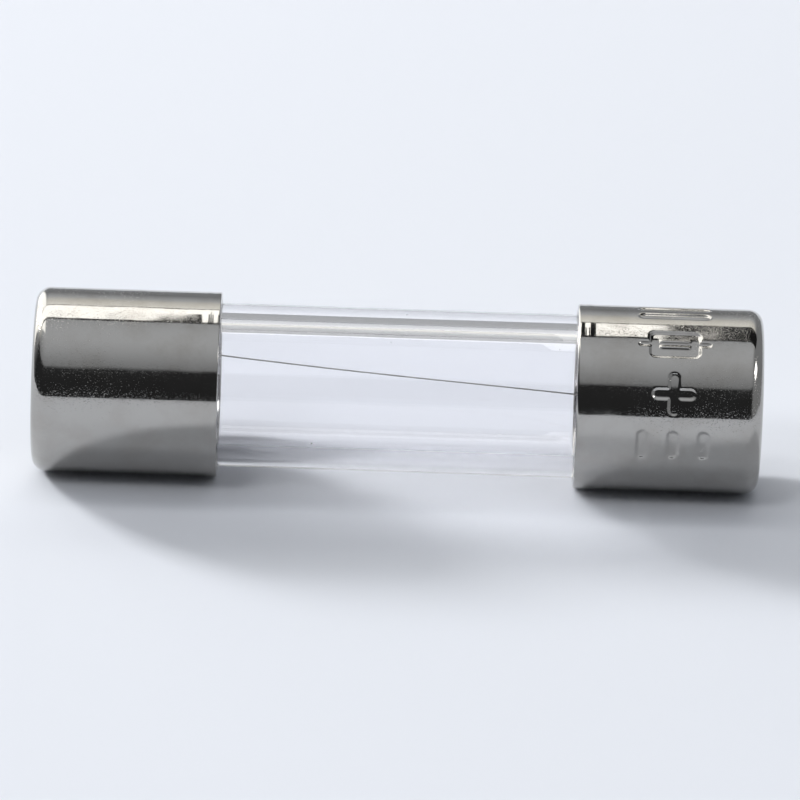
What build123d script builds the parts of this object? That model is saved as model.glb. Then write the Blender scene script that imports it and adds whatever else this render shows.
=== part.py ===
from build123d import *

import os

# Miniature glass cartridge fuse, 5 x 20 mm.
# A drawn metal cap closes each end of a glass tube. A thin wire crosses the bore from one rim of the
# tube to the other, folds back over both rims, and is held with the caps by a fill of solder.
# X runs along the fuse, +Z is up, and the origin is the middle of the fuse. Sizes are millimetres.

# Driving dimensions
overall_length = 20.0
cap_diameter = 5.1
cap_length = 5.1
cap_wall = 0.22
cap_floor = 0.25
cap_corner = 0.4  # outside radius from the cap's wall to its end face
mouth_round = 0.06  # outside of the cap's open edge
mouth_chamfer = 0.04  # inside of the cap's open edge

tube_diameter = 4.5
tube_wall = 0.6
rim_round = 0.1
solder_gap = 0.35  # from the tube's end to the cap's floor

wire_diameter = 0.04
left_wire_angle = 113.5  # where the wire crosses each rim, in degrees from +Y towards +Z
right_wire_angle = -32.8
wire_bend = 0.1  # radius of the wire's folds
wire_tail = 2.5  # folded back between tube and cap

solder_depth = 0.25  # of the plug, at the bore's wall
dome_height = 0.4  # of the plug's free face

mark_height = 1.95  # along the fuse
mark_stroke = 0.28
mark_depth = 0.045
mark_pitch = 33.3  # degrees round the cap
first_mark_angle = -8.0  # degrees from -Y towards +Z
mark_middle = 7.55  # along the fuse

# Worked out from them
cap_radius = cap_diameter / 2
cap_bore = cap_radius - cap_wall
cap_inside_corner = cap_corner - cap_wall
mouth_x = overall_length / 2 - cap_length
floor_x = overall_length / 2 - cap_floor
tube_radius = tube_diameter / 2
tube_bore = tube_radius - tube_wall
tube_end = floor_x - solder_gap
tail_radius = (tube_radius + cap_bore) / 2
wire_inside_radius = tube_bore - 0.8 * wire_diameter
wire_over_rim = tube_end + 2 * wire_diameter

os.makedirs("parts", exist_ok=True)


def end_plane(x):
    """A plane across the fuse at x, facing away from the middle of the fuse."""
    return Plane(origin=(x, 0, 0), x_dir=(0, 1, 0), z_dir=(1 if x > 0 else -1, 0, 0))


def on_circle(x, radius, angle):
    """The point at x, at this radius and this angle from +Y towards +Z."""
    return Vector(x, radius, 0).rotate(Axis.X, angle)


def twin_bars():
    """Two long bars."""
    with GridLocations(2 * mark_stroke, 0, 2, 1):
        SlotOverall(mark_height, mark_stroke, rotation=90)


def fuse_symbol():
    """A line through an outlined bar, as a fuse is drawn on a wiring plan."""
    Rectangle(3 * mark_stroke, 0.7 * mark_height)
    Rectangle(mark_stroke, 0.7 * mark_height - 2 * mark_stroke, mode=Mode.SUBTRACT)
    SlotOverall(mark_height, 0.4 * mark_stroke, rotation=90)


def plus_sign():
    """Two equal bars crossed at right angles."""
    SlotOverall(0.6 * mark_height, mark_stroke)
    SlotOverall(0.6 * mark_height, mark_stroke, rotation=90)


def three_rungs():
    """Three short bars across the fuse, one above the other."""
    with GridLocations(0, (mark_height - mark_stroke) / 2, 1, 3):
        SlotOverall(3 * mark_stroke, mark_stroke)


# The glass tube, with both rims fire-polished
with BuildPart() as glass_tube:
    with BuildSketch(end_plane(-tube_end)):
        Circle(tube_radius)
        Circle(tube_bore, mode=Mode.SUBTRACT)
    extrude(amount=-2 * tube_end)
    fillet(edges().filter_by(GeomType.CIRCLE), rim_round)

glass_tube.part.label = "glass_tube"
export_step(glass_tube.part, "parts/glass_tube.step")

# The punches that stamp the right cap: each mark stands on its own tangent plane round the cap, and
# their inner ends follow the cap's curve, so that every mark is sunk to the same depth
with BuildPart() as mark_punches:
    for number, draw_mark in enumerate((three_rungs, plus_sign, fuse_symbol, twin_bars)):
        outward = Vector(0, -1, 0).rotate(Axis.X, -first_mark_angle - number * mark_pitch)
        middle = Vector(mark_middle, 0, 0) + outward * cap_radius
        with BuildSketch(Plane(middle, x_dir=Vector(1, 0, 0).cross(outward), z_dir=outward)):
            draw_mark()
        extrude(amount=cap_wall, both=True)
    with BuildSketch(end_plane(mouth_x)):
        Circle(cap_radius - mark_depth)
    extrude(amount=cap_length, mode=Mode.SUBTRACT)

# The end caps: two drawn cups, open towards the middle of the fuse, the right one stamped
for side, name in ((-1, "plain_end_cap"), (1, "stamped_end_cap")):
    with BuildPart() as end_cap:
        with BuildSketch(end_plane(side * mouth_x)):
            Circle(cap_radius)
        extrude(amount=cap_length)
        with BuildSketch(end_plane(side * mouth_x)):
            Circle(cap_bore)
        extrude(amount=cap_length - cap_floor, mode=Mode.SUBTRACT)
        rings = edges().filter_by(GeomType.CIRCLE).sort_by(lambda ring: side * ring.center().X)
        mouth_rings = rings[:2].sort_by(SortBy.RADIUS)
        fillet(rings[3], cap_corner)
        fillet(rings[2], cap_inside_corner)
        fillet(mouth_rings[1], mouth_round)
        chamfer(mouth_rings[0], mouth_chamfer)
        if side > 0:
            add(mark_punches.part, mode=Mode.SUBTRACT)
    end_cap.part.label = name
    export_step(end_cap.part, f"parts/{name}.step")

# The fuse wire: one length, from its left tail over both rims to its right tail
with BuildPart() as fuse_wire:
    with BuildLine() as wire_route:
        FilletPolyline(
            on_circle(-tube_end + wire_tail, tail_radius, left_wire_angle),
            on_circle(-wire_over_rim, tail_radius, left_wire_angle),
            on_circle(-wire_over_rim, wire_inside_radius, left_wire_angle),
            on_circle(wire_over_rim, wire_inside_radius, right_wire_angle),
            on_circle(wire_over_rim, tail_radius, right_wire_angle),
            on_circle(tube_end - wire_tail, tail_radius, right_wire_angle),
            radius=wire_bend,
        )
    with BuildSketch(Plane(wire_route.line @ 0, z_dir=wire_route.line % 0)):
        Circle(wire_diameter / 2)
    sweep(path=wire_route.line)

fuse_wire.part.label = "fuse_wire"
export_step(fuse_wire.part, "parts/fuse_wire.step")

# The solder in each cap: a disc between the cap's floor and the tube's end, and a plug that domes a
# little way into the bore, both cast round the wire
for side, name in ((-1, "left_solder_fill"), (1, "right_solder_fill")):
    plug_edge = tube_end - solder_depth
    dome_top = plug_edge - dome_height
    with BuildPart() as solder_fill:
        with BuildSketch(Plane.XY):
            with BuildLine():
                Polyline((dome_top, 0), (floor_x, 0), (floor_x, cap_bore - cap_inside_corner))
                RadiusArc(
                    (floor_x, cap_bore - cap_inside_corner),
                    (floor_x - cap_inside_corner, cap_bore),
                    -cap_inside_corner,
                )
                Polyline(
                    (floor_x - cap_inside_corner, cap_bore),
                    (tube_end, cap_bore),
                    (tube_end, tube_bore),
                    (plug_edge, tube_bore),
                )
                TangentArc((dome_top, 0), (plug_edge, tube_bore), tangent=(0, 1))
            make_face()
        revolve(axis=Axis.X)
        if side < 0:
            mirror(about=Plane.YZ, mode=Mode.REPLACE)
        add(fuse_wire.part, mode=Mode.SUBTRACT)
    solder_fill.part.label = name
    export_step(solder_fill.part, f"parts/{name}.step")
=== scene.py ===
import math

import bmesh
import bpy
import numpy as np
from mathutils import Matrix, Vector, noise


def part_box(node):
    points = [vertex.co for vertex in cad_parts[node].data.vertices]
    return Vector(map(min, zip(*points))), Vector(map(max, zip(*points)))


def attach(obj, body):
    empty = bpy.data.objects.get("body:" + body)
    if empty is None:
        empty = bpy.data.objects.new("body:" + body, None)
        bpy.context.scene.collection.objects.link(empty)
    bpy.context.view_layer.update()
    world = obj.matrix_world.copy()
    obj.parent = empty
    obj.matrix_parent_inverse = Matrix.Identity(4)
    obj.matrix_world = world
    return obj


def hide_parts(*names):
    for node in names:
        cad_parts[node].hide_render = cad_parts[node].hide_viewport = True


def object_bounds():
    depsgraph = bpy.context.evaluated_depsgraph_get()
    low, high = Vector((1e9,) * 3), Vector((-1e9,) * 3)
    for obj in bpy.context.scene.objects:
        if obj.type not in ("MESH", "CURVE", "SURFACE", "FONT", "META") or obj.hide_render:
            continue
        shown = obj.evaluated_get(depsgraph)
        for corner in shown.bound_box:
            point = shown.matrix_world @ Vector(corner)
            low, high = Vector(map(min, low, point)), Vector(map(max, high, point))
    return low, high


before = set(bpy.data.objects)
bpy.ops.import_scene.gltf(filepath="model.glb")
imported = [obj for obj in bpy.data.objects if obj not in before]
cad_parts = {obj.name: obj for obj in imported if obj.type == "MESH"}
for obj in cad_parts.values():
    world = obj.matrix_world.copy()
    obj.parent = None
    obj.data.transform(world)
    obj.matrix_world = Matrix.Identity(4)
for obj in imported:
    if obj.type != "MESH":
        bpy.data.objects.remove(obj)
cad_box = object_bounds()

# X runs along the fuse, +Z is up, and the origin is the middle of the fuse. Lengths are metres.

# ---------------------------------------------------------------------------------------------
# Glass tube
# The body of the fuse, a length of clear soda-lime tube. It is drawn hot, cut to length, and its
# rims are melted smooth in a flame. It stands between the two solder fills, inside the caps.
# ---------------------------------------------------------------------------------------------
MM = 0.001
tube_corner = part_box("glass_tube")[1]
tube_end = tube_corner.x
tube_radius = tube_corner.z
tube_wall = 0.6 * MM
tube_bore = tube_radius - tube_wall
rim_round = 0.1 * MM
rim_steps = 6
wall_steps = 96
tube_sides = 256
drawing_wave = 0.0012 * MM  # how far the drawn wall strays from a true cylinder
same_place = 1e-8  # points nearer to each other than this are one

glass_tint = (0.985, 0.985, 1.0, 1)
glass_ior = 1.51
lamplight_share = (0.7, 0.7, 0.7, 1)  # what one surface of the glass lets through
smear_size = 1.4 * MM
dust_spacing = 1.3 * MM
draw_line_width = 0.12 * MM
draw_line_depth = 0.0008 * MM


def arc(x, radius, bend, start, end, steps):
    """Points along an arc of an outline, about (x, radius), from one angle to another in degrees."""
    turns = (math.radians(start + (end - start) * step / steps) for step in range(steps + 1))
    return [(x + bend * math.cos(turn), radius + bend * math.sin(turn)) for turn in turns]


def line(start, end, steps):
    """The points between two corners of an outline, leaving out both of them."""
    shares = (step / steps for step in range(1, steps))
    return [tuple(a + (b - a) * share for a, b in zip(start, end)) for share in shares]


def turned(name, outline, sides, forming):
    """A piece turned about the fuse's axis from its closed outline of (x, radius) points.

    forming takes and returns the x and radius of every point, with its angle from +Y towards +Z.
    """
    outline_x, outline_radius = np.array(outline).T
    angle, x = np.meshgrid(np.linspace(0, 2 * math.pi, sides, endpoint=False), outline_x)
    radius = np.repeat(outline_radius[:, None], sides, axis=1)
    x, radius = forming(x, radius, angle)
    points = np.stack((x, radius * np.cos(angle), radius * np.sin(angle)), axis=-1)
    faces = []
    for ring in range(len(outline)):
        this_ring = ring * sides
        next_ring = (ring + 1) % len(outline) * sides
        for side in range(sides):
            beside = (side + 1) % sides
            faces.append((this_ring + side, this_ring + beside, next_ring + beside, next_ring + side))
    mesh = bpy.data.meshes.new(name)
    mesh.from_pydata(points.reshape(-1, 3).tolist(), [], faces)
    shape = bmesh.new()
    shape.from_mesh(mesh)
    bmesh.ops.remove_doubles(shape, verts=shape.verts, dist=same_place)
    bare = [edge for edge in shape.edges if not edge.link_faces]  # along the axis
    bmesh.ops.delete(shape, geom=bare, context="EDGES")
    bmesh.ops.recalc_face_normals(shape, faces=shape.faces)
    for face in shape.faces:
        face.smooth = True
    shape.to_mesh(mesh)
    shape.free()
    piece = bpy.data.objects.new(name, mesh)
    bpy.context.collection.objects.link(piece)
    return piece


def new_finish(name):
    """A new material with its node tree, its Principled shader and its Object coordinates."""
    material = bpy.data.materials.new(name)
    material.use_nodes = True
    tree = material.node_tree
    shader = tree.nodes["Principled BSDF"]
    place = tree.nodes.new("ShaderNodeTexCoord").outputs["Object"]
    return material, tree, shader, place


def add_node(tree, kind, settings=(), **inputs):
    """A node whose inputs take numbers, colours or other nodes' outputs; _ in a name is a space."""
    node = tree.nodes.new("ShaderNode" + kind)
    for setting, value in dict(settings).items():
        setattr(node, setting, value)
    for label, value in inputs.items():
        socket = next(s for s in node.inputs if s.name == label.replace("_", " ") and s.enabled)
        if isinstance(value, bpy.types.NodeSocket):
            tree.links.new(value, socket)
        else:
            socket.default_value = value
    return node


def combine(tree, operation, one, other):
    """Two values put together by this operation, such as MULTIPLY or MAXIMUM."""
    node = add_node(tree, "Math", {"operation": operation})
    tree.links.new(one, node.inputs[0])
    tree.links.new(other, node.inputs[1])
    return node.outputs["Value"]


def grain(tree, place, size, stretch=(1, 1, 1), **inputs):
    """Noise whose features are about this size, longer along an axis whose stretch is under 1."""
    scale = tuple(share / size for share in stretch)
    placed = add_node(tree, "Mapping", Vector=place, Scale=scale).outputs["Vector"]
    return add_node(tree, "TexNoise", Vector=placed, Scale=1.0, **inputs).outputs["Fac"]


def remap(tree, value, low, high, to_low, to_high):
    """value from low to high becomes to_low to to_high, smoothly, and is held there outside."""
    smooth = {"interpolation_type": "SMOOTHSTEP"}
    limits = {"From_Min": low, "From_Max": high, "To_Min": to_low, "To_Max": to_high}
    return add_node(tree, "MapRange", smooth, Value=value, **limits).outputs["Result"]


def tube_outline():
    """The tube's wall, from its left rim along the outside to its right rim, and back in the bore."""
    straight = tube_end - rim_round
    outside, inside = tube_radius - rim_round, tube_bore + rim_round
    return [
        *arc(-straight, outside, rim_round, 180, 90, rim_steps),
        *line((-straight, tube_radius), (straight, tube_radius), wall_steps),
        *arc(straight, outside, rim_round, 90, 0, rim_steps),
        *arc(straight, inside, rim_round, 0, -90, rim_steps),
        *line((straight, tube_bore), (-straight, tube_bore), wall_steps),
        *arc(-straight, inside, rim_round, -90, -180, rim_steps),
    ]


def drawn_glass(x, radius, angle):
    """The slow waves that drawing leaves along the wall."""
    wave = np.sin(3 * angle + 260 * x) + np.sin(5 * angle - 410 * x + 1.3) * 0.6
    return x, radius + drawing_wave * wave * np.where(radius > (tube_radius + tube_bore) / 2, 1, -0.8)


clear_glass, tree, shader, place = new_finish("clear_glass")
shader.inputs["Base Color"].default_value = glass_tint
shader.inputs["Transmission Weight"].default_value = 1.0
shader.inputs["IOR"].default_value = glass_ior
breath = grain(tree, place, smear_size, (0.35, 1, 1), Detail=3.0, Roughness=0.55)
smears = remap(tree, breath, 0.5, 0.75, 0.0, 0.035)
from_speck = add_node(tree, "TexVoronoi", Vector=place, Scale=1 / dust_spacing).outputs["Distance"]
dust = remap(tree, from_speck, 0.02, 0.035, 0.6, 0.0)
tree.links.new(combine(tree, "MAXIMUM", dust, smears), shader.inputs["Roughness"])
draw_lines = grain(tree, place, draw_line_width, (0.02, 1, 1), Detail=2.0)
bump = add_node(tree, "Bump", Height=draw_lines, Strength=0.25, Distance=draw_line_depth)
tree.links.new(bump.outputs["Normal"], shader.inputs["Normal"])

# The lamps shine straight through the glass, weakened at each surface, so its shadow is pale
lamps_through = add_node(tree, "BsdfTransparent", Color=lamplight_share)
surface = add_node(tree, "MixShader", Fac=add_node(tree, "LightPath").outputs["Is Shadow Ray"])
tree.links.new(shader.outputs["BSDF"], surface.inputs[1])
tree.links.new(lamps_through.outputs["BSDF"], surface.inputs[2])
tree.links.new(surface.outputs["Shader"], tree.nodes["Material Output"].inputs["Surface"])

tube = turned("tube", tube_outline(), tube_sides, drawn_glass)
tube.data.materials.append(clear_glass)
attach(tube, "root")
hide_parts("glass_tube")

# ---------------------------------------------------------------------------------------------
# Fuse wire
# The element that melts: one length of tinned copper wire, finer than a hair. It is threaded
# through the tube on a slant, folded back over both rims, and trapped there by caps and solder.
# ---------------------------------------------------------------------------------------------
wire_radius = 0.02 * MM
left_wire_angle = math.radians(113.5)  # where the wire crosses each rim, from +Y towards +Z
right_wire_angle = math.radians(-32.8)
tail_radius = 2.29 * MM  # in the gap between tube and cap
inside_radius = 1.618 * MM  # against the bore
wire_fold = 0.08 * MM  # how far a fold stands off the rim, and how widely it turns
wire_over_rim = tube_end + wire_fold
wire_tail = 2.5 * MM
wire_sway = 0.02 * MM
span_steps = 12
wire_sides = 12
points_per_run = 8

dark_tin = (0.34, 0.33, 0.32)
bright_tin = (0.66, 0.65, 0.64)
tin_grain = 0.06 * MM
tin_relief = 0.003 * MM


def round_axis(x, radius, angle):
    """The point at x, at this radius and this angle from +Y towards +Z."""
    return Vector((x, radius * math.cos(angle), radius * math.sin(angle)))


def rim_fold(side, angle):
    """Points of the fold over one rim, from the tail's end, between tube and cap, into the bore."""
    return [
        round_axis(side * (tube_end - wire_tail), tail_radius, angle),
        round_axis(side * (tube_end - wire_tail / 2), tail_radius, angle),
        round_axis(side * (wire_over_rim - wire_fold), tail_radius, angle),
        round_axis(side * wire_over_rim, tail_radius, angle),
        round_axis(side * wire_over_rim, tail_radius - wire_fold, angle),
        round_axis(side * wire_over_rim, inside_radius + wire_fold, angle),
        round_axis(side * wire_over_rim, inside_radius, angle),
    ]


def wire_route():
    """The wire's centre line, with the slight waves that it keeps from its spool."""
    left_fold = rim_fold(-1, left_wire_angle)
    right_fold = rim_fold(1, right_wire_angle)
    span = []
    for step in range(1, span_steps):
        share = step / span_steps
        point = left_fold[-1].lerp(right_fold[-1], share)
        sway = math.sin(share * math.pi) * wire_sway
        span.append(point + Vector((0, sway * math.sin(9 * share), sway * math.cos(7 * share + 1))))
    return left_fold + span + right_fold[::-1]


def smooth_line(points):
    """The points of a smooth curve that follows these, read from a NURBS spline."""
    curve = bpy.data.curves.new("route", "CURVE")
    curve.dimensions = "3D"
    curve.resolution_u = points_per_run
    spline = curve.splines.new("NURBS")
    spline.points.add(len(points) - 1)
    for control, point in zip(spline.points, points):
        control.co = (*point, 1)
    spline.order_u = 3
    spline.use_endpoint_u = True
    carrier = bpy.data.objects.new("route", curve)
    mesh = bpy.data.meshes.new_from_object(carrier)
    line_points = [vertex.co.copy() for vertex in mesh.vertices]
    bpy.data.objects.remove(carrier)
    bpy.data.meshes.remove(mesh)
    return line_points


def drawn_wire(name, points, radius, sides):
    """A wire with closed ends along these points, its rings turned as little as they can be."""
    rings, faces = [], []
    along = (points[1] - points[0]).normalized()
    across = along.orthogonal().normalized()
    for number, point in enumerate(points):
        ahead = points[min(number + 1, len(points) - 1)]
        behind = points[max(number - 1, 0)]
        next_along = (ahead - behind).normalized()
        across = along.rotation_difference(next_along) @ across
        along = next_along
        lift = along.cross(across)
        for side in range(sides):
            turn = 2 * math.pi * side / sides
            rings.append(point + radius * (math.cos(turn) * across + math.sin(turn) * lift))
    for ring in range(len(points) - 1):
        for side in range(sides):
            this, beside = ring * sides + side, ring * sides + (side + 1) % sides
            faces.append((this, beside, beside + sides, this + sides))
    faces.append(tuple(reversed(range(sides))))
    faces.append(tuple(range(len(rings) - sides, len(rings))))
    mesh = bpy.data.meshes.new(name)
    mesh.from_pydata(rings, [], faces)
    mesh.shade_smooth()
    piece = bpy.data.objects.new(name, mesh)
    bpy.context.collection.objects.link(piece)
    return piece


def two_tone(tree, value, first, second, low=0.0, high=1.0):
    """The first colour up to low, the second from high up, and a blend of them between."""
    ramp = add_node(tree, "ValToRGB", Fac=value)
    for stop, position, colour in zip(ramp.color_ramp.elements, (low, high), (first, second)):
        stop.position = position
        stop.color = (*colour, 1)
    return ramp.outputs["Color"]


tinned_wire, tree, shader, place = new_finish("tinned_wire")
shader.inputs["Metallic"].default_value = 1.0
tin = grain(tree, place, tin_grain, (0.3, 1, 1), Detail=3.0)
tree.links.new(two_tone(tree, tin, dark_tin, bright_tin), shader.inputs["Base Color"])
tree.links.new(remap(tree, tin, 0.3, 0.7, 0.3, 0.5), shader.inputs["Roughness"])
bump = add_node(tree, "Bump", Height=tin, Strength=0.4, Distance=tin_relief)
tree.links.new(bump.outputs["Normal"], shader.inputs["Normal"])

wire = drawn_wire("wire", smooth_line(wire_route()), wire_radius, wire_sides)
wire.data.materials.append(tinned_wire)
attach(wire, "root")
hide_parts("fuse_wire")

# ---------------------------------------------------------------------------------------------
# Solder fills
# A drop of tin solder is melted in each cap, and the tube's end is pressed into it. It sets as a
# disc on the cap's floor and a domed plug in the bore, dull and slightly wrinkled, round the wire.
# ---------------------------------------------------------------------------------------------
plug_depth = 0.25 * MM  # at the bore's wall
dome_height = 0.4 * MM
dome_steps = 24
plug_steps = 4
cap_bore = 2.33 * MM
cap_inside_corner = 0.18 * MM
inside_corner_steps = 6
floor_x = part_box("right_solder_fill")[1].x
solder_sides = 96
wrinkle_depth = 0.012 * MM
smooth_edge = 0.02 * MM  # of the dome, left without wrinkles

yellowed_solder = (0.5, 0.46, 0.38)
clean_solder = (0.72, 0.71, 0.69)
pool_size = 0.5 * MM
crystal_size = 0.18 * MM
crystal_relief = 0.01 * MM


def solder_outline(side):
    """The dome, the plug in the bore, the face against the rim, and the disc in the cap's corner."""
    plug_edge = tube_end - plug_depth
    dome_radius = (tube_bore**2 + dome_height**2) / (2 * dome_height)
    dome_middle = plug_edge - dome_height + dome_radius
    half_dome = math.degrees(math.asin(tube_bore / dome_radius))
    corner_x = floor_x - cap_inside_corner
    corner_radius = cap_bore - cap_inside_corner
    points = [
        *arc(dome_middle, 0, dome_radius, 180, 180 - half_dome, dome_steps),
        *line((plug_edge, tube_bore), (tube_end, tube_bore), plug_steps),
        (tube_end, tube_bore),
        (tube_end, cap_bore),
        *arc(corner_x, corner_radius, cap_inside_corner, 90, 0, inside_corner_steps),
        (floor_x, 0),
    ]
    return [(side * x, radius) for x, radius in points]


def set_solder(x, radius, angle):
    """The wrinkles that the dome sets with."""
    domed = np.abs(x) < tube_end - plug_depth - smooth_edge
    wrinkle = np.sin(4 * angle + 3000 * radius) + np.sin(7 * angle - 5200 * radius + 2) * 0.5
    push = domed * wrinkle_depth * wrinkle * np.sin(np.pi * radius / tube_bore)
    return x + push, radius


solder, tree, shader, place = new_finish("solder")
shader.inputs["Metallic"].default_value = 1.0
pool = grain(tree, place, pool_size, Detail=4.0)
tree.links.new(two_tone(tree, pool, yellowed_solder, clean_solder), shader.inputs["Base Color"])
tree.links.new(remap(tree, pool, 0.3, 0.7, 0.22, 0.42), shader.inputs["Roughness"])
crystals = add_node(tree, "TexVoronoi", {"feature": "SMOOTH_F1"}, Vector=place, Scale=1 / crystal_size)
bump = add_node(
    tree, "Bump", Height=crystals.outputs["Distance"], Strength=0.5, Distance=crystal_relief
)
tree.links.new(bump.outputs["Normal"], shader.inputs["Normal"])

for side, name in ((-1, "left"), (1, "right")):
    fill = turned(f"{name}_solder", solder_outline(side), solder_sides, set_solder)
    fill.data.materials.append(solder)
    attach(fill, "root")
    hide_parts(f"{name}_solder_fill")

# ---------------------------------------------------------------------------------------------
# End caps
# Cups drawn from thin brass strip and barrel-plated with nickel, so that they are bright but finely
# pitted and scuffed. Each is pushed over the tube's end, and the solder inside it holds it there.
# The right one is stamped with marks, and its mouth is rounder.
# ---------------------------------------------------------------------------------------------
cap_radius = cad_box[1][2]
cap_end = cad_box[1][0]
mouth_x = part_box("stamped_end_cap")[0].x
plain_mouth_round = 0.03 * MM
stamped_mouth_round = 0.07 * MM
mouth_round_steps = 8
mouth_chamfer = 0.04 * MM
mouth_stretch = 0.8 * MM  # beside the mouth, with its rings closer together for the bead
mouth_steps = 40
barrel_steps = 115
cap_corner = 0.4 * MM
cap_corner_steps = 16
end_face_steps = 14
bore_steps = 4
cap_sides = 480

bead_place = 0.32 * MM  # from the mouth to the fine bead that the sizing die leaves
lip_place = 0.06 * MM  # from the mouth to the raised lip
bead_width = 0.09 * MM
bead_height = 0.007 * MM
dish_depth = 0.03 * MM  # of the end face
dish_radius = 1.7 * MM
dent_depth = 0.004 * MM
dent_length = 2.2 * MM
small_dent_length = 0.7 * MM

stained_nickel = (0.395, 0.38, 0.355)
clean_nickel = (0.44, 0.43, 0.41)
stain_size = 1.1 * MM
speck_size = 0.025 * MM
speck_relief = 0.005 * MM
patch_size = 1.3 * MM
scuff_size = 0.35 * MM
scratch_width = 0.05 * MM
scratch_depth = 0.001 * MM
least_worn_x = 5.5 * MM
most_worn_x = 8.2 * MM


def cap_outline(mouth_round):
    """The right cap's wall, from its mouth over the outside to the end's middle, and back inside."""
    corner_x = cap_end - cap_corner
    inside_x = floor_x - cap_inside_corner
    round_x = mouth_x + mouth_round
    barrel_x = mouth_x + mouth_stretch
    return [
        (mouth_x + mouth_chamfer, cap_bore),
        (mouth_x, cap_bore + mouth_chamfer),
        *arc(round_x, cap_radius - mouth_round, mouth_round, 180, 90, mouth_round_steps),
        *line((round_x, cap_radius), (barrel_x, cap_radius), mouth_steps),
        *line((barrel_x, cap_radius), (corner_x, cap_radius), barrel_steps),
        *arc(corner_x, cap_radius - cap_corner, cap_corner, 90, 0, cap_corner_steps),
        *line((cap_end, cap_radius - cap_corner), (cap_end, 0), end_face_steps),
        (cap_end, 0),
        (floor_x, 0),
        *arc(inside_x, cap_bore - cap_inside_corner, cap_inside_corner, 0, 90, inside_corner_steps),
        *line((inside_x, cap_bore), (mouth_x + mouth_chamfer, cap_bore), bore_steps),
    ]


def dents(x, angle):
    """Slight dents round the barrel, a few broad ones with smaller ones over them."""
    bumps = np.vectorize(lambda a, b, c: noise.noise(Vector((a, b, c))))
    broad = bumps(x / dent_length, 1.6 * np.cos(angle), 1.6 * np.sin(angle))
    small = bumps(x / small_dent_length, 4.5 * np.cos(angle), 4.5 * np.sin(angle))
    return (0.6 - broad - 0.35 * small).clip(0, 2)


def drawn_metal(x, radius, angle):
    """What forming leaves on a cap's outside: the bead by the mouth, slight dents, the dished end."""
    outside = radius > cap_bore + 2 * mouth_chamfer
    from_mouth = x - mouth_x
    bead = np.exp(-(((from_mouth - bead_place) / bead_width) ** 2))
    lip = 0.8 * np.exp(-(((from_mouth - lip_place) / bead_width) ** 2))
    barrel = np.clip((radius - dish_radius) / (cap_radius - dish_radius), 0, 1)
    sunk = bead_height * (1 - np.maximum(bead, lip)) + dent_depth * dents(x, angle)
    radius = radius - outside * barrel * sunk
    on_end = x > (floor_x + cap_end) / 2
    dish = dish_depth * np.clip(1 - (radius / dish_radius) ** 2, 0, 1) ** 0.7
    return x - on_end * dish, radius


# The marks stamped into the right cap, as strokes between two points, in millimetres along the
# fuse and round the cap from each mark's middle: rungs, a plus, a fuse symbol and a pair of bars.
mark_height = 1.95  # along the fuse
mark_stroke = 0.28
mark_depth = 0.045 * MM
mark_slope = 0.04  # half the width of a stroke's sloping side
mark_middle = 7.55 * MM
first_mark_angle = 188.0  # degrees from +Y towards +Z
mark_pitch = -33.3
half_mark = (mark_height - mark_stroke) / 2
half_plus = (0.6 * mark_height - mark_stroke) / 2
symbol_end = (0.7 * mark_height - mark_stroke) / 2
symbol_line_stroke = 0.4 * mark_stroke
symbol_line_end = (mark_height - symbol_line_stroke) / 2

rungs = [((along, -mark_stroke), (along, mark_stroke)) for along in (-half_mark, 0, half_mark)]
plus = [((-half_plus, 0), (half_plus, 0)), ((0, -half_plus), (0, half_plus))]
fuse_symbol = [
    ((-symbol_end, -mark_stroke), (symbol_end, -mark_stroke)),
    ((-symbol_end, mark_stroke), (symbol_end, mark_stroke)),
    ((-symbol_end, -mark_stroke), (-symbol_end, mark_stroke)),
    ((symbol_end, -mark_stroke), (symbol_end, mark_stroke)),
]
symbol_line = ((-symbol_line_end, 0), (symbol_line_end, 0))
twin_bars = [((-half_mark, across), (half_mark, across)) for across in (-mark_stroke, mark_stroke)]


def stroke_distance(along, across, start, end):
    """How far each point is from a stroke's middle line."""
    (a, b), (c, d) = start, end
    run, rise = c - a, d - b
    share = np.clip(((along - a) * run + (across - b) * rise) / (run**2 + rise**2), 0, 1)
    return np.hypot(along - a - share * run, across - b - share * rise)


def stamped_metal(x, radius, angle):
    """A drawn cap with the marks sunk into its side."""
    x, radius = drawn_metal(x, radius, angle)
    outside = (radius > cap_bore + 2 * mouth_chamfer) & (x < cap_end - cap_corner)
    along = (x - mark_middle) / MM
    sunk = np.zeros_like(x)
    for number, mark in enumerate((rungs, plus, fuse_symbol, twin_bars)):
        middle = math.radians(first_mark_angle + number * mark_pitch)
        turn = (angle - middle + math.pi) % (2 * math.pi) - math.pi
        across = turn * cap_radius / MM
        distance = np.min([stroke_distance(along, across, *stroke) for stroke in mark], axis=0)
        if mark is fuse_symbol:
            thinner = (mark_stroke - symbol_line_stroke) / 2
            distance = np.minimum(distance, stroke_distance(along, across, *symbol_line) + thinner)
        edge = np.clip((mark_stroke / 2 + mark_slope - distance) / (2 * mark_slope), 0, 1)
        sunk = np.maximum(sunk, edge * edge * (3 - 2 * edge))
    return x, radius - outside * mark_depth * sunk


nickel_plate, tree, shader, place = new_finish("nickel_plated_brass")
shader.inputs["Metallic"].default_value = 1.0
stain = grain(tree, place, stain_size, Detail=5.0, Roughness=0.6)
nickel = two_tone(tree, stain, stained_nickel, clean_nickel, 0.3, 0.55)
tree.links.new(nickel, shader.inputs["Base Color"])

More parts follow.
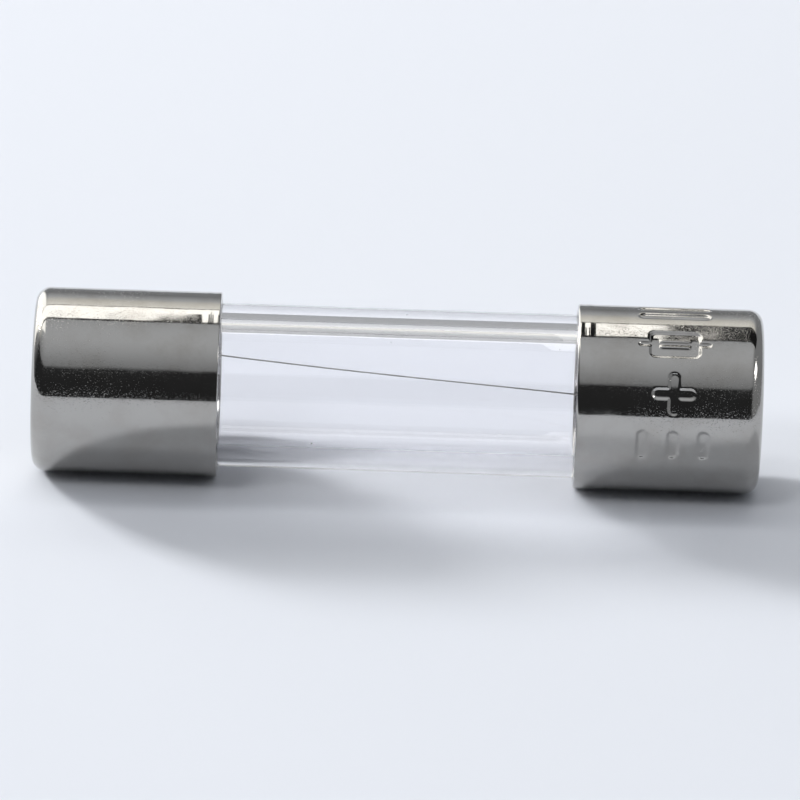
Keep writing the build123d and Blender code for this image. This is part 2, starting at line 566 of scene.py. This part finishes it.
# Fine pits, in patches, and more of them towards the ends of the fuse, with scuffs between them
specks = remap(tree, grain(tree, place, speck_size, (0.6, 1, 1), Detail=2.0), 0.58, 0.76, 0.0, 1.0)
patches = remap(tree, grain(tree, place, patch_size, Detail=3.0), 0.32, 0.6, 0.25, 1.0)
along_fuse = add_node(tree, "SeparateXYZ", Vector=place).outputs["X"]
outward = add_node(tree, "Math", {"operation": "ABSOLUTE"}, Value=along_fuse).outputs["Value"]
wear = remap(tree, outward, least_worn_x, most_worn_x, 0.4, 1.0)
speckle = combine(tree, "MULTIPLY", specks, combine(tree, "MULTIPLY", patches, wear))
scuffs = grain(tree, place, scuff_size, (0.4, 1, 1), Detail=6.0, Roughness=0.7)
scuffed = remap(tree, scuffs, 0.45, 0.75, 0.05, 0.16)
pitted = remap(tree, speckle, 0.0, 1.0, 0.0, 0.38)
tree.links.new(combine(tree, "MAXIMUM", scuffed, pitted), shader.inputs["Roughness"])
speck_bump = add_node(tree, "Bump", Height=speckle, Strength=0.33, Distance=speck_relief)
scratches = grain(tree, place, scratch_width, (0.06, 1, 1), Detail=2.0)
scratch_bump = add_node(tree, "Bump", Height=scratches, Strength=0.3, Distance=scratch_depth)
tree.links.new(speck_bump.outputs["Normal"], scratch_bump.inputs["Normal"])
tree.links.new(scratch_bump.outputs["Normal"], shader.inputs["Normal"])

for side, name, mouth_round, forming in (
    (-1, "plain", plain_mouth_round, drawn_metal),
    (1, "stamped", stamped_mouth_round, stamped_metal),
):
    cap = turned(f"{name}_cap", cap_outline(mouth_round), cap_sides, forming)
    if side < 0:
        cap.data.transform(Matrix.Rotation(math.pi, 4, "Z"))
    cap.data.materials.append(nickel_plate)
    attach(cap, "root")
    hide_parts(f"{name}_end_cap")

# ---------------------------------------------------------------------------------------------
# Floor, lights and camera
# The fuse lies on a pale matte table under a long strip lamp and a wide soft one, with small lamps
# at the back left, at the right and in front. The room is dark behind the camera, paler at the
# back, and has a window at the back left.
# ---------------------------------------------------------------------------------------------
table_colour = (0.765, 0.79, 0.845)
board_black = (0.02, 0.02, 0.02)
table_reach = 0.8
table_height = cad_box[0][2]
lamp_distance = 0.45
far_distance = 0.6


def panel(name, corners, colour):
    """A flat matte panel that stands in the studio and isn't part of the fuse."""
    paint = bpy.data.materials.new(f"{name}_paint")
    paint.use_nodes = True
    shader = paint.node_tree.nodes["Principled BSDF"]
    shader.inputs["Base Color"].default_value = (*colour, 1)
    shader.inputs["Roughness"].default_value = 1.0
    shader.inputs["Specular IOR Level"].default_value = 0.0
    mesh = bpy.data.meshes.new(name)
    mesh.from_pydata(corners, [], [tuple(range(len(corners)))])
    mesh.materials.append(paint)
    piece = bpy.data.objects.new(name, mesh)
    bpy.context.collection.objects.link(piece)


def lamp(name, toward, width, length, power, distance=lamp_distance, colour=(1, 1, 1)):
    """A rectangular soft lamp that faces the fuse from this direction."""
    light = bpy.data.lights.new(name, "AREA")
    light.shape = "RECTANGLE"
    light.size, light.size_y = length, width
    light.color = colour
    light.energy = power
    holder = bpy.data.objects.new(name, light)
    holder.location = Vector(toward).normalized() * distance
    holder.rotation_euler = Vector(toward).to_track_quat("Z", "Y").to_euler()
    bpy.context.collection.objects.link(holder)
    return holder


table_corners = ((-1, -1), (1, -1), (1, 1), (-1, 1))
panel("floor", [(x * table_reach, y * table_reach, table_height) for x, y in table_corners], table_colour)

# The caps mirror the strip lamp as a white band and the right lamp as a glint at the corner, and
# those two light nothing matte. The soft and front lamps light the table and aren't mirrored.
# The side lamp is mirrored, and draws the shadow.
strip_angle = math.radians(116.5)
strip_width = 0.183
strip_right, strip_left = 0.022, -0.5
strip_toward = Vector((0, -math.cos(strip_angle), math.sin(strip_angle)))
strip_length = strip_right - strip_left
strip = lamp("strip_lamp", strip_toward, strip_width, strip_length, power=0.75, colour=(1.0, 0.99, 0.96))
strip.location.x = (strip_right + strip_left) / 2
lamp("side_lamp", (-0.8, 0.71, 0.50), width=0.09, length=0.09, power=1.7)
right_lamp = lamp("right_lamp", (0.70, -0.24, 0.67), width=0.1, length=0.15, power=0.25)
soft_lamp = lamp("soft_lamp", (-0.1, 0.4, 1), width=0.5, length=0.5, power=1.05, distance=far_distance)
front_lamp = lamp(
    "front_lamp", (-0.45, -0.62, 0.8), width=0.15, length=0.15, power=0.6, distance=far_distance
)
for mirrored in (strip, right_lamp):
    mirrored.visible_diffuse = False
for unseen in (soft_lamp, front_lamp):
    unseen.visible_glossy = False
    unseen.visible_transmission = False

# A black board behind the strip lamp, whose edges show as thin lines beside the lamp, and a small
# black flag in front of it
board_gap = 0.004
board_front = strip_width / 2 + 0.024
board_back = -strip_width / 2 - 0.012
board_right = 0.35
flag_front = strip_width / 2
flag_back = -0.1 * strip_width
flag_left_front, flag_left_back = -0.0205, -0.0155
flag_right_front, flag_right_back = 0.013, 0.012


def on_strip(x, offset, gap):
    """A point of the strip lamp's plane, offset towards the camera's side, a gap behind the lamp."""
    towards_camera = Vector((0, -strip_toward.z, strip_toward.y))
    return strip_toward * (lamp_distance + gap) + towards_camera * offset + Vector((x, 0, 0))


panel(
    "lamp_board",
    [
        on_strip(strip_left, board_front, board_gap),
        on_strip(strip_left, board_back, board_gap),
        on_strip(board_right, board_back, board_gap),
        on_strip(board_right, board_front, board_gap),
    ],
    board_black,
)
panel(
    "lamp_flag",
    [
        on_strip(flag_left_front, flag_front, -board_gap),
        on_strip(flag_left_back, flag_back, -board_gap),
        on_strip(flag_right_back, flag_back, -board_gap),
        on_strip(flag_right_front, flag_front, -board_gap),
    ],
    board_black,
)

room = bpy.data.worlds.new("room")
bpy.context.scene.world = room
room.use_nodes = True
tree = room.node_tree
facing = add_node(tree, "TexCoord").outputs["Generated"]
direction = add_node(tree, "SeparateXYZ", Vector=facing)


def wall(*shades):
    """A wall's brightness from the horizon up to overhead: pairs of height and shade."""
    ramp = add_node(tree, "ValToRGB", Fac=direction.outputs["Z"])
    stops = ramp.color_ramp.elements
    while len(stops) < len(shades):
        stops.new(0.5)
    for stop, (height, shade) in zip(stops, shades):
        stop.position = height
        stop.color = (*shade, 1)
    return ramp.outputs["Color"]


def grey(shade):
    """A faintly cool grey."""
    return (shade * 0.97, shade, shade * 1.05)


def cream(shade):
    """A faintly warm white."""
    return (shade, shade * 0.99, shade * 0.93)


def share(value, low, high):
    """From 0 where value is low to 1 where it is high."""
    return remap(tree, value, low, high, 0.0, 1.0)


def painted(walls, part, colour):
    """The walls with this part of them in another colour."""
    mixed = add_node(tree, "Mix", {"data_type": "RGBA"}, Factor=part, A=walls, B=colour)
    return next(output for output in mixed.outputs if output.enabled)


front_wall = wall(
    (0.0, grey(0.03)),
    (0.575, grey(0.035)),
    (0.63, grey(0.36)),
    (0.74, grey(0.46)),
    (0.96, grey(0.7)),
)
back_wall = wall(
    (0.0, grey(0.28)),
    (0.31, grey(0.3)),
    (0.42, grey(0.48)),
    (0.52, grey(0.68)),
    (0.63, cream(1.0)),
    (0.76, cream(1.35)),
    (0.95, grey(0.6)),
)
right_wall = (*grey(0.33), 1)
window_light = (2.2, 2.2, 2.15, 1)
window_side = (0.466, 0.845, 0.267)  # the window's edge is at right angles to this direction

behind = share(direction.outputs["Y"], -0.1, 0.3)
beyond_right = share(direction.outputs["X"], 0.3, 0.55)
towards_window = add_node(tree, "VectorMath", {"operation": "DOT_PRODUCT"}, Vector=facing)
towards_window.inputs[1].default_value = window_side
past_edge = share(towards_window.outputs["Value"], -0.02, 0.06)
on_left = share(direction.outputs["X"], -0.22, -0.32)
in_window = combine(tree, "MULTIPLY", past_edge, on_left)
side_walls = painted(painted(front_wall, behind, back_wall), beyond_right, right_wall)
lit_walls = painted(side_walls, in_window, window_light)
tree.links.new(lit_walls, tree.nodes["Background"].inputs["Color"])

camera_distance = 0.230
camera_elevation = math.radians(22)
camera_roll = math.radians(1.9)
view_width = 22.04 * MM
sensor_width = 36
aim_right = 0.083 * MM
aim_down = 0.263 * MM
camera_data = bpy.data.cameras.new("camera")
camera_data.sensor_width = sensor_width
camera_data.lens = sensor_width * camera_distance / view_width
camera_data.clip_start = 0.01
camera = bpy.data.objects.new("camera", camera_data)
bpy.context.collection.objects.link(camera)
toward_camera = Vector((0, -math.cos(camera_elevation), math.sin(camera_elevation)))
image_up = Vector((0, math.sin(camera_elevation), math.cos(camera_elevation)))
aim = Vector((aim_right, 0, 0)) - image_up * aim_down
level_view = toward_camera.to_track_quat("Z", "Y").to_matrix()
camera.location = aim + toward_camera * camera_distance
camera.rotation_euler = (level_view @ Matrix.Rotation(camera_roll, 3, "Z")).to_euler()
bpy.context.scene.camera = camera
bpy.context.scene.view_settings.view_transform = "Standard"
